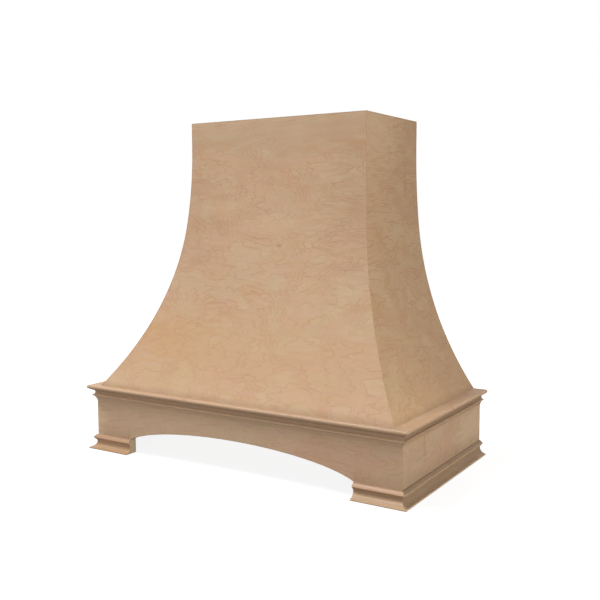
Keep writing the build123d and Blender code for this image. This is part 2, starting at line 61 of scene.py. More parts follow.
class Flare:
    """The two arcs of a bent face in section. 'out' is measured from its straight top."""

    def __init__(self, spread, upper_r):
        turn = math.asin(upper_arc_h / upper_r)
        joint_out = upper_r * (1 - math.cos(turn))
        across = spread - joint_out
        down = curve_joint_z - seat_z
        lean = across * math.cos(turn) - down * math.sin(turn)
        self.upper_r = upper_r
        self.lower_r = (across**2 + down**2) / (2 * lean)
        self.lower_out = joint_out + self.lower_r * math.cos(turn)
        self.lower_z = curve_joint_z + self.lower_r * math.sin(turn)


side_flare = Flare(chimney_side_foot - chimney_half_w, side_upper_r)
front_flare = Flare(chimney_front_y - chimney_front_foot, front_upper_r)


def srgb(red, green, blue):
    """The linear colour of a screen colour, 0 to 255."""

    def linear(level):
        share = level / 255
        return share / 12.92 if share <= 0.04045 else ((share + 0.055) / 1.055) ** 2.4

    return (linear(red), linear(green), linear(blue), 1.0)


# -------- writing node trees
class Net:
    """Adds nodes to one tree and joins them."""

    def __init__(self, tree):
        self.tree = tree

    def put(self, socket, value):
        """Join a socket to another one, or give it a plain value."""
        if isinstance(value, bpy.types.NodeSocket):
            self.tree.links.new(value, socket)
        else:
            socket.default_value = value

    def node(self, kind, **settings):
        made = self.tree.nodes.new(kind)
        for name, value in settings.items():
            setattr(made, name, value)
        return made

    def math(self, operation, *values, clamp=False):
        made = self.node("ShaderNodeMath", operation=operation, use_clamp=clamp)
        for socket, value in zip(made.inputs, values):
            self.put(socket, value)
        return made.outputs[0]

    def add(self, first, second):
        return self.math("ADD", first, second)

    def less(self, first, second):
        return self.math("SUBTRACT", first, second)

    def times(self, first, second):
        return self.math("MULTIPLY", first, second)

    def over(self, first, second):
        return self.math("DIVIDE", first, second)

    def vector(self, operation, *values):
        made = self.node("ShaderNodeVectorMath", operation=operation)
        for socket, value in zip(made.inputs, values):
            self.put(socket, value)
        return made.outputs["Value" if operation in ("DOT_PRODUCT", "LENGTH") else "Vector"]

    def split(self, vector):
        made = self.node("ShaderNodeSeparateXYZ")
        self.put(made.inputs[0], vector)
        return made.outputs[0], made.outputs[1], made.outputs[2]

    def join(self, x, y, z=0.0):
        made = self.node("ShaderNodeCombineXYZ")
        for socket, value in zip(made.inputs, (x, y, z)):
            self.put(socket, value)
        return made.outputs[0]

    def place(self):
        return self.node("ShaderNodeTexCoord").outputs["Object"]

    def noise(self, place, scale=1.0, detail=0.0, roughness=0.5, distortion=0.0, colour=False):
        made = self.node("ShaderNodeTexNoise")
        self.put(made.inputs["Vector"], place)
        self.put(made.inputs["Scale"], scale)
        self.put(made.inputs["Detail"], detail)
        self.put(made.inputs["Roughness"], roughness)
        self.put(made.inputs["Distortion"], distortion)
        return made.outputs[1 if colour else 0]

    def grain_noise(self, axes, sizes, **settings):
        """A noise whose features have the given sizes along, across and into the board."""
        measured = [self.over(axis, size) for axis, size in zip(axes, sizes)]
        return self.noise(self.join(*measured), **settings)

    def drawn_out(self, axes, share):
        """A place whose noise is drawn out along the grain, because that axis counts less."""
        along, across, deep = axes
        return self.join(self.times(along, share), across, deep)

    def ease(self, value, low, high, from_value=0.0, to_value=1.0):
        """A smooth step of value between low and high."""
        made = self.node("ShaderNodeMapRange", interpolation_type="SMOOTHSTEP")
        for socket, number in zip(made.inputs, (value, low, high, from_value, to_value)):
            self.put(socket, number)
        return made.outputs[0]

    def mix(self, share, first, second, blend="MIX"):
        made = self.node("ShaderNodeMix", data_type="RGBA", blend_type=blend)
        self.put(made.inputs[0], share)
        self.put(made.inputs[6], first)
        self.put(made.inputs[7], second)
        return made.outputs[2]

    def between(self, share, first, second):
        """A number between first and second."""
        made = self.node("ShaderNodeMix", data_type="FLOAT")
        self.put(made.inputs[0], share)
        self.put(made.inputs[2], first)
        self.put(made.inputs[3], second)
        return made.outputs[0]

    def shade(self, colour, level):
        """A colour made lighter or darker by a level."""
        return self.mix(1.0, colour, self.join(level, level, level), blend="MULTIPLY")

    def swing(self, value, depth):
        """A level about 1 that swings by the depth, as the value goes from 0 to 1."""
        return self.math("MULTIPLY_ADD", value, depth, 1.0 - depth / 2)

    def effect(self, group, **values):
        """Place a shared effect with its own values."""
        made = self.node("ShaderNodeGroup", node_tree=group)
        for name, value in values.items():
            self.put(made.inputs[name.replace("_", " ")], value)
        return made.outputs


def new_effect(name, inputs, outputs):
    """An empty shared effect. Inputs and outputs are written as 'Socket name: Kind'."""
    tree = bpy.data.node_groups.new(name, "ShaderNodeTree")
    for way, sockets in (("INPUT", inputs), ("OUTPUT", outputs)):
        for written in sockets:
            socket_name, kind = written.split(": ")
            tree.interface.new_socket(socket_name, in_out=way, socket_type="NodeSocket" + kind)
    net = Net(tree)
    given = net.node("NodeGroupInput").outputs
    results = net.node("NodeGroupOutput").inputs
    return tree, net, given, results


# -------- camera
# Solved from the corners and outlines of the hood in the photograph, 600 pixels square
camera_place = Vector((1.1967, -1.8308, 0.6344))
camera_lens = 49.74  # in millimetres, like the sensor's width
camera_sensor = 36.0
camera_azimuth = math.radians(31.99)
camera_tilt = math.radians(5.84)
camera_roll = math.radians(-0.194)


def add_camera():
    ahead = Vector(
        (
            -math.sin(camera_azimuth) * math.cos(camera_tilt),
            math.cos(camera_azimuth) * math.cos(camera_tilt),
            -math.sin(camera_tilt),
        )
    )
    level = Vector((math.cos(camera_azimuth), math.sin(camera_azimuth), 0))
    above = level.cross(ahead)
    side = level * math.cos(camera_roll) + above * math.sin(camera_roll)
    upright = above * math.cos(camera_roll) - level * math.sin(camera_roll)
    turned = Matrix((side, upright, -ahead)).transposed().to_4x4()
    data = bpy.data.cameras.new("studio_camera")
    data.sensor_width = camera_sensor
    data.lens = camera_lens
    data.dof.use_dof = False
    camera = bpy.data.objects.new("studio_camera", data)
    camera.matrix_world = Matrix.Translation(camera_place) @ turned
    bpy.context.scene.collection.objects.link(camera)
    bpy.context.scene.camera = camera


# -------- light and floor
white = (1.0, 1.0, 1.0, 1.0)
world_level = 0.13
lit_middle = Vector((0.0, -0.1, 0.42))
lamps = [
    # name, place, width, height, watts
    ("high_left_key", (-1.2, -1.2, 3.2), 1.0, 0.8, 69.0),
    ("low_front_strip", (0.2, -3.0, 0.35), 1.5, 0.5, 19.0),
    ("right_soft", (3.2, -0.3, 0.9), 1.4, 1.4, 32.5),
    ("low_right_strip", (2.9, -1.6, 0.3), 1.0, 0.5, 21.0),
    ("front_left_fill", (-3.0, -1.4, 1.2), 1.4, 1.4, 8.0),
    ("overhead_soft", (0.0, 0.0, 2.9), 1.6, 1.6, 7.0),
    ("left_soft", (-3.2, 0.0, 0.7), 1.4, 1.0, 36.0),
    ("rear_soft", (0.0, 3.4, 1.3), 1.6, 1.2, 50.0),
]
# Only these are seen in the wood's sheen. The others light it and aren't mirrored
shining_lamps = ("high_left_key", "low_front_strip", "overhead_soft")


def add_lamp(name, place, width, height, watts):
    """A soft rectangular lamp that points at the middle of the hood."""
    data = bpy.data.lights.new(name, "AREA")
    data.shape = "RECTANGLE"
    data.size = width
    data.size_y = height
    data.energy = watts
    lamp = bpy.data.objects.new(name, data)
    lamp.location = place
    lamp.visible_glossy = name in shining_lamps
    lamp.rotation_euler = (lit_middle - Vector(place)).to_track_quat("-Z", "Y").to_euler()
    bpy.context.scene.collection.objects.link(lamp)


def add_world():
    """White where the camera, or a shiny face, looks past the floor; a soft level elsewhere."""
    world = bpy.data.worlds.new("studio")
    bpy.context.scene.world = world
    world.use_nodes = True
    net = Net(world.node_tree)
    background = world.node_tree.nodes["Background"]
    path = net.node("ShaderNodeLightPath").outputs
    seen = net.math("ADD", path["Is Camera Ray"], path["Is Glossy Ray"], clamp=True)
    seen = net.math("ADD", seen, path["Is Transmission Ray"], clamp=True)
    background.inputs["Color"].default_value = white
    net.put(background.inputs["Strength"], net.between(seen, world_level, 1.0))


floor_half_size = 8.0
floor_grain = 40.0
floor_greys = (srgb(128, 128, 128), srgb(134, 134, 134))
floor_roughness = 0.9
floor_glow = 0.88  # what the camera sees of the floor in full shadow; white is 1
shadow_reach = 1.1  # the floor shows the hood's shadow this far from its middle
shadow_fades_from = 0.55 * shadow_reach


def add_floor():
    mesh = bpy.data.meshes.new("studio_floor")
    half = floor_half_size
    corners = [(-half, -half, 0), (half, -half, 0), (half, half, 0), (-half, half, 0)]
    mesh.from_pydata(corners, [], [(0, 1, 2, 3)])
    floor = bpy.data.objects.new("studio_floor", mesh)
    bpy.context.scene.collection.objects.link(floor)
    material = bpy.data.materials.new("pale studio floor")
    material.use_nodes = True
    nodes = material.node_tree.nodes
    net = Net(material.node_tree)
    paint = nodes["Principled BSDF"]
    paint.inputs["Roughness"].default_value = floor_roughness
    paint.inputs["Specular IOR Level"].default_value = 0.0
    place = net.place()
    fine = net.noise(place, floor_grain, detail=3.0)
    net.put(paint.inputs["Base Color"], net.mix(fine, *floor_greys))
    seen = net.node("ShaderNodeLightPath").outputs["Is Camera Ray"]
    far = net.ease(net.vector("LENGTH", place), shadow_fades_from, shadow_reach)
    glow = net.node("ShaderNodeEmission")
    net.put(glow.inputs["Strength"], net.times(seen, net.between(far, floor_glow, 1.0)))
    both = net.node("ShaderNodeAddShader")
    net.put(both.inputs[0], paint.outputs[0])
    net.put(both.inputs[1], glow.outputs[0])
    net.put(nodes["Material Output"].inputs["Surface"], both.outputs[0])
    floor.data.materials.append(material)


# -------- shared effects
# 'Place' is always laid with the grain: its x runs along the grain, its y across it on the
# face, and its z into the board.
centre_of_noise = (0.5, 0.5, 0.5)
on_the_face = (1.0, 1.0, 0.0)
into_board = 60 * MM  # how deep the figure stays the same

# What a ring field is told besides the place. Length and Width are the size of the broad figure
# that spans Rings. Zigzag is how far its teeth reach, and Ripple how many rings it trembles by.
# Heart rings lie round the Heart. Above Straight from, the lines run level
ring_inputs = [
    "Length: Float",
    "Width: Float",
    "Rings: Float",
    "Zigzag: Float",
    "Ripple: Float",
    "Heart: Vector",
    "Heart size: Vector",
    "Heart rings: Float",
    "Straight from: Float",
    "Straight rings: Float",
]


def build_ring_field():
    """Growth rings counted outwards, so that a ring line lies at every whole number."""
    sway_scale = 5.0
    sway_reach = (100 * MM, 35 * MM, 0.0)
    tooth_size = (110 * MM, 11 * MM, into_board)
    ripple_size = (34 * MM, 14 * MM, 40 * MM)
    calm_starts, calm_is_full, calm_share = -20 * MM, 75 * MM, 0.25
    turn_to_straight = 30 * MM

    inputs = ["Place: Vector", *ring_inputs]
    tree, net, given, results = new_effect("Ring field", inputs, ["Rings: Float"])
    place = given["Place"]
    sway = net.vector("SUBTRACT", net.noise(place, sway_scale, colour=True), centre_of_noise)
    swayed = net.vector("ADD", place, net.vector("MULTIPLY", sway, sway_reach))
    teeth = net.grain_noise(net.split(swayed), tooth_size, detail=1.5)
    shift = net.times(net.less(teeth, 0.5), given["Zigzag"])
    jagged = net.vector("ADD", swayed, net.join(shift, 0.0, 0.0))
    axes = net.split(jagged)
    broad = net.grain_noise(axes, (given["Length"], given["Width"], into_board), detail=1.3)
    ripple = net.grain_noise(axes, ripple_size, detail=1.2)
    above = net.less(axes[1], given["Straight from"])
    calm = net.ease(above, calm_starts, calm_is_full, 1.0, calm_share)
    reach = net.vector("DIVIDE", net.vector("SUBTRACT", jagged, given["Heart"]), given["Heart size"])
    reach = net.vector("LENGTH", net.vector("MULTIPLY", reach, on_the_face))
    hill = net.math("EXPONENT", net.times(net.times(reach, reach), -1.0))
    rings = net.math("MULTIPLY_ADD", hill, given["Heart rings"], net.times(broad, given["Rings"]))
    rings = net.math("MULTIPLY_ADD", ripple, given["Ripple"], net.times(rings, calm))
    climb = net.math("SMOOTH_MAX", above, 0.0, turn_to_straight)
    rings = net.math("MULTIPLY_ADD", climb, given["Straight rings"], rings)
    net.put(results["Rings"], rings)
    return tree


def build_maple_figure(ring_field):
    """The figure of maple: ring lines, the tints between them, fibres, flecks, stains and specks."""
    outputs = ("Line", "Tint", "Blush", "Shade", "Fleck", "Stain", "Speck")
    tree, net, given, results = new_effect(
        "Maple figure",
        ["Place: Vector", *ring_inputs, "Line width: Float"],
        [name + ": Float" for name in outputs],
    )
    place = given["Place"]
    axes = net.split(place)
    along, across, deep = axes

    # Ring lines keep their width, because the count is divided by how fast it rises. They fade
    # where they crowd. All rises are in rings a metre
    step = 0.8 * MM
    slowest_rise, roomy_rise, crowded_rise = 6.0, 120.0, 380.0
    crowded_share, faintest_share, hairline_share = 0.45, 0.35, 0.6
    hairlines_in_ring = 3.0
    faint_size = (60 * MM, 28 * MM, into_board)
    told = [written.split(": ")[0] for written in ring_inputs]

    def rings_at(offset):
        moved = net.vector("ADD", place, offset)
        return net.effect(ring_field, Place=moved, **{name: given[name] for name in told})["Rings"]

    here = rings_at((0, 0, 0))
    beside = net.less(rings_at((step, 0, 0)), here)
    higher = net.less(rings_at((0, step, 0)), here)
    rise = net.over(net.vector("LENGTH", net.join(beside, higher)), step)
    steepness = net.math("MAXIMUM", rise, slowest_rise)

    def to_nearest_line(rings, rise):
        part = net.math("FRACT", rings)
        return net.over(net.math("MINIMUM", part, net.less(1.0, part)), rise)

    away = to_nearest_line(here, steepness)
    line = net.ease(away, 0.0, given["Line width"], 1.0, 0.0)
    finer = [net.times(count, hairlines_in_ring) for count in (here, steepness)]
    hairline = net.ease(to_nearest_line(*finer), 0.0, given["Line width"], hairline_share, 0.0)
    faint = net.grain_noise(axes, faint_size, detail=1.5)
    uncrowded = net.ease(steepness, roomy_rise, crowded_rise, 1.0, crowded_share)
    strength = net.times(net.ease(faint, 0.34, 0.62, faintest_share, 1.0), uncrowded)
    drawn = net.math("MAXIMUM", net.times(line, strength), net.times(hairline, faint))
    net.put(results["Line"], drawn)

    # Bands of a few rings are pale or not. Clouds, and soft spots of another hue, lie over them
    rings_in_band = 2.0
    not_pale_share = 0.68
    band_share = 0.6
    cloud_size = (170 * MM, 75 * MM, into_board)
    blush_size = (48 * MM, 17 * MM, into_board)
    band = net.node("ShaderNodeTexWhiteNoise", noise_dimensions="1D")
    net.put(band.inputs["W"], net.math("FLOOR", net.over(here, rings_in_band)))
    pale = net.math("GREATER_THAN", band.outputs[0], not_pale_share)
    cloud = net.grain_noise(axes, cloud_size, detail=2.0, distortion=0.5)
    net.put(results["Tint"], net.between(band_share, net.ease(cloud, 0.42, 0.70), pale))
    blush = net.grain_noise(axes, blush_size, detail=3.0)
    net.put(results["Blush"], net.ease(blush, 0.34, 0.66))

    # Fibres, broader strands, a slow sheen and the darker end of each ring
    fibre_scale, strand_scale = 380.0, 90.0
    fibre_depth, strand_depth, sheen_depth, late_wood_depth = 0.05, 0.05, 0.06, 0.03
    sheen_size = (60 * MM, 45 * MM, into_board)
    fibre = net.noise(net.drawn_out(axes, 0.05), fibre_scale, detail=2.0, roughness=0.6)
    strand = net.noise(net.drawn_out(axes, 0.12), strand_scale, detail=1.0)
    sheen = net.grain_noise(axes, sheen_size, detail=1.0)
    late_wood = net.math("POWER", net.math("FRACT", here), 3.0)
    shade = net.times(net.swing(fibre, fibre_depth), net.swing(strand, strand_depth))
    shade = net.times(shade, net.swing(sheen, sheen_depth))
    shade = net.times(shade, net.math("MULTIPLY_ADD", late_wood, -late_wood_depth, 1.0))
    net.put(results["Shade"], shade)

    # Flecks beside the lines, ochre stains and small dark specks
    fleck_scale, stain_scale, speck_scale = 58.0, 17.0, 14.0
    fleck_reach = 5 * MM
    near_line = net.ease(away, 0.0, fleck_reach, 1.0, 0.0)
    fleck = net.ease(net.noise(net.drawn_out(axes, 0.38), fleck_scale, detail=1.0), 0.62, 0.76)
    net.put(results["Fleck"], net.times(fleck, near_line))
    elsewhere = (along, across, net.add(deep, 3.0))
    ochre = net.noise(net.drawn_out(elsewhere, 0.5), stain_scale, detail=2.0)
    net.put(results["Stain"], net.ease(ochre, 0.63, 0.78))
    cells = net.node("ShaderNodeTexVoronoi")
    net.put(cells.inputs["Vector"], net.drawn_out(axes, 0.6))
    net.put(cells.inputs["Scale"], speck_scale)
    net.put(results["Speck"], net.ease(cells.outputs["Distance"], 0.016, 0.034, 1.0, 0.0))
    return tree


def build_patch():
    """A soft-edged patch about a centre, frayed along the grain: stain, streak, knot or painted shade.
    """
    fray_size = (40 * MM, 9 * MM, 40 * MM)
    inputs = ["Place: Vector", "Centre: Vector", "Size: Vector", "Fray: Float"]
    tree, net, given, results = new_effect("Patch", inputs, ["Patch: Float"])
    reach = net.vector("DIVIDE", net.vector("SUBTRACT", given["Place"], given["Centre"]), given["Size"])
    reach = net.vector("LENGTH", net.vector("MULTIPLY", reach, on_the_face))
    frayed = net.grain_noise(net.split(given["Place"]), fray_size, detail=2.0)
    reach = net.math("MULTIPLY_ADD", net.less(frayed, 0.5), given["Fray"], reach)
    net.put(results["Patch"], net.ease(reach, 0.2, 1.0, 1.0, 0.0))
    return tree


def build_timber():
    """Plain sawn timber: growth rings round a far heart, and fibres along the grain."""
    heart_below, heart_behind = 35 * MM, 70 * MM
    bend_size = (400 * MM, 60 * MM, 60 * MM)
    bend_reach = (0.0, 30 * MM, 30 * MM)
    across_grain = (0.0, 1.0, 1.0)
    fibre_scale, streak_scale = 700.0, 55.0
    tree, net, given, results = new_effect(
        "Sawn timber",
        ["Place: Vector", "Ring width: Float"],
        ["Ring: Float", "Fibre: Float", "Streak: Float"],
    )
    axes = net.split(given["Place"])
    across, deep = axes[1:]
    bend = net.grain_noise(axes, bend_size, colour=True)
    bend = net.vector("MULTIPLY", net.vector("SUBTRACT", bend, centre_of_noise), bend_reach)
    heart = net.join(0.0, net.add(across, heart_below), net.add(deep, heart_behind))
    from_heart = net.vector("MULTIPLY", net.vector("ADD", heart, bend), across_grain)
    part = net.math("FRACT", net.over(net.vector("LENGTH", from_heart), given["Ring width"]))
    net.put(results["Ring"], net.ease(part, 0.35, 1.0))
    fibre = net.noise(net.drawn_out(axes, 0.04), fibre_scale, detail=3.0, roughness=0.65)
    net.put(results["Fibre"], fibre)
    net.put(results["Streak"], net.noise(net.drawn_out(axes, 0.08), streak_scale, detail=2.0))
    return tree


def build_plies():
    """The edge of plywood: plies whose grain runs by turns along and across, and their glue."""
    wander_scale = 16.0
    wander_reach = 0.25 * MM
    chip_scale = 900.0
    tree, net, given, results = new_effect(
        "Plies",
        ["Place: Vector", "Depth: Float", "Ply: Float"],
        ["Cross: Float", "Glue: Float", "Chip: Float"],
    )
    wander = net.less(net.noise(given["Place"], wander_scale, detail=1.0), 0.5)
    counted = net.over(net.math("MULTIPLY_ADD", wander, wander_reach, given["Depth"]), given["Ply"])
    part = net.math("FRACT", counted)
    net.put(results["Cross"], net.math("PINGPONG", net.math("FLOOR", counted), 1.0))
    nearest = net.math("MINIMUM", part, net.less(1.0, part))
    net.put(results["Glue"], net.ease(nearest, 0.02, 0.12, 1.0, 0.0))
    net.put(results["Chip"], net.noise(given["Place"], chip_scale, detail=3.0, roughness=0.7))
    return tree


def build_eased_edge():
    """The slight round that sanding leaves on every arris, and where it shows."""
    bevel_samples = 4
    rub_scale = 45.0
    tree, net, given, results = new_effect(
        "Eased edge", ["Place: Vector", "Radius: Float"], ["Normal: Vector", "Edge: Float"]
    )
    rounded = net.node("ShaderNodeBevel", samples=bevel_samples)
    net.put(rounded.inputs["Radius"], given["Radius"])
    square = net.node("ShaderNodeNewGeometry").outputs["Normal"]
    facing = net.vector("DOT_PRODUCT", rounded.outputs["Normal"], square)
    on_edge = net.ease(facing, 0.85, 0.99, 1.0, 0.0)
    rubbed = net.ease(net.noise(given["Place"], rub_scale, detail=2.0), 0.3, 0.62, 0.5, 1.0)
    net.put(results["Normal"], rounded.outputs["Normal"])
    net.put(results["Edge"], net.times(on_edge, rubbed))
    return tree


def build_recess():
    """How closed in a place is: 1 in the depth of a cove or a corner, 0 on an open face.

    Upward leans the look-out towards the sky, so that the underside of a lip counts more.
    """
    sky_samples = 8
    inputs = ["Reach: Float", "Upward: Float"]
    tree, net, given, results = new_effect("Recess", inputs, ["Depth: Float"])
    square = net.node("ShaderNodeNewGeometry").outputs["Normal"]
    leaned = net.vector("ADD", square, net.join(0.0, 0.0, given["Upward"]))
    open_sky = net.node("ShaderNodeAmbientOcclusion", samples=sky_samples)
    net.put(open_sky.inputs["Distance"], given["Reach"])
    net.put(open_sky.inputs["Normal"], net.vector("NORMALIZE", leaned))
    net.put(results["Depth"], net.ease(open_sky.outputs["AO"], 0.2, 0.9, 1.0, 0.0))
    return tree


def build_bend_depth():
    """How deep a point lies behind a bent face. Out is measured from the face's straight top."""
    tree, net, given, results = new_effect(
        "Depth behind the bend",
        [
            "Out: Float",
            "Height: Float",
            "Upper radius: Float",
            "Lower radius: Float",
            "Lower out: Float",
            "Lower height: Float",
        ],
        ["Depth: Float"],
    )
    out, height = given["Out"], given["Height"]

    def behind_arc(centre_out, centre_height, radius):
        reach = net.join(net.less(out, centre_out), net.less(height, centre_height))
        return net.less(net.vector("LENGTH", reach), radius)

    upper = behind_arc(given["Upper radius"], curve_start_z, given["Upper radius"])
    lower = behind_arc(given["Lower out"], given["Lower height"], given["Lower radius"])
    bent = net.between(net.math("GREATER_THAN", height, curve_joint_z), lower, upper)
    is_straight = net.math("GREATER_THAN", height, curve_start_z)
    net.put(results["Depth"], net.between(is_straight, bent, net.times(out, -1.0)))
    return tree


ring_field = build_ring_field()
maple_figure = build_maple_figure(ring_field)
patch = build_patch()
timber = build_timber()
plies = build_plies()
eased_edge = build_eased_edge()
recess = build_recess()
bend_depth = build_bend_depth()


# -------- wood materials
arris_brown = srgb(150, 100, 58)
# Painted shade, for coves, corners and the foot of a face
painted_shade_brown = srgb(104, 82, 62)
maple_line = srgb(168, 106, 61)
maple_fleck = srgb(200, 146, 98)
maple_stain = srgb(196, 152, 96)
maple_speck = srgb(128, 88, 60)
maple_red = srgb(172, 108, 70)
pale_maple = srgb(222, 192, 156)
mineral_grey = srgb(186, 184, 158)
# Painted highlight, for the crests of mouldings
painted_crest_highlight = srgb(226, 190, 157)
# Painted light, for the ends beside the arch
painted_end_light = srgb(238, 210, 174)
dull_maple = srgb(160, 126, 98)
# Painted shade, for the hollows of mouldings
painted_hollow_shade = srgb(96, 74, 54)
panel_warm = srgb(205, 169, 138)
panel_cool = srgb(205, 176, 143)
side_warm = srgb(199, 162, 125)
side_cool = srgb(201, 169, 131)
left_warm = srgb(200, 166, 134)
left_cool = srgb(200, 171, 137)
apron_warm = srgb(208, 172, 143)
apron_cool = srgb(205, 175, 144)
front_trim_tones = (srgb(207, 172, 140), srgb(203, 172, 138))
side_trim_tones = (srgb(204, 168, 133), srgb(200, 168, 133))
return_tones = (srgb(197, 160, 127), srgb(193, 161, 126))
# A darker copy of the moulding tones: painted shade on the side base mouldings
shaded_base_side_tones = (srgb(170, 140, 110), srgb(166, 140, 110))
panel_back_light = srgb(204, 178, 142)
panel_back_dark = srgb(190, 160, 124)
birch_light = srgb(214, 190, 154)
birch_dark = srgb(200, 172, 134)
long_ply = srgb(206, 176, 138)
cross_ply = srgb(172, 136, 98)
ply_glue = srgb(112, 80, 54)
poplar_light = srgb(214, 191, 153)
poplar_dark = srgb(208, 184, 144)
poplar_ring = srgb(180, 150, 108)
zinc_bright = srgb(214, 206, 176)
zinc_dull = srgb(176, 166, 140)
zinc_edge = srgb(232, 228, 212)

# What the colour of maple is multiplied by, in soft spots
yellower = (0.992, 1.010, 0.982, 1.0)
pinker = (1.006, 0.990, 1.018, 1.0)

# How much of its colour each mark takes on
stain_share = 0.25
fleck_share = 0.15
speck_share = 0.45
trim_line_share = 0.25
birch_line_share = 0.25
birch_speck_share = 0.6
glue_share = 0.7
poplar_ring_share = 0.35

bare_wood_specular = 0.22
rough_base, rough_fall = 1.15, 0.6  # the lighter the shade, the less rough
line_groove = 0.12
ply_roughness = 0.75
ply_relief = 2.0
chip_depth = 0.5
far_above = 9.0  # a height above every board, in metres, for lines that never run straight
eased_radius = 0.6 * MM  # how far the sandpaper rounds an arris
edge_line = 2.4 * MM  # how far a brown edge line reaches in from an edge
relief_height = 0.05 * MM
relief_strength = 0.7

# What the ring field is told for each kind of board. Without heart rings any heart size will do
no_heart = (1.0, 1.0, 1.0)
panel_figure = {
    "Length": 170 * MM,
    "Width": 150 * MM,
    "Rings": 19.0,
    "Zigzag": 75 * MM,
    "Ripple": 1.1,
    "Heart_size": (270 * MM, 180 * MM, 1.0),
    "Heart_rings": 22.0,
    "Straight_rings": -35.0,
    "Line_width": 2.2 * MM,
}
board_figure = {
    "Length": 300 * MM,
    "Width": 80 * MM,
    "Rings": 9.0,
    "Zigzag": 25 * MM,
    "Ripple": 2.2,
    "Heart_size": (140 * MM, 45 * MM, 1.0),
    "Heart_rings": 4.0,
    "Line_width": 2.2 * MM,
}
side_board_figure = {
    "Length": 110 * MM,
    "Width": 150 * MM,
    "Rings": 14.0,
    "Zigzag": 30 * MM,
    "Ripple": 0.8,
    "Heart_size": (120 * MM, 90 * MM, 1.0),
    "Heart_rings": 5.0,
    "Line_width": 2.2 * MM,
}
birch_figure = {
    "Length": 300 * MM,
    "Width": 120 * MM,
    "Rings": 8.0,
    "Zigzag": 25 * MM,
    "Ripple": 1.5,
    "Heart_size": no_heart,
    "Line_width": 2.5 * MM,
}
trim_figure = {
    "Length": 600 * MM,
    "Width": 45 * MM,
    "Rings": 5.0,
    "Zigzag": 20 * MM,
    "Ripple": 0.5,
    "Heart_size": no_heart,
    "Line_width": 1.6 * MM,
}


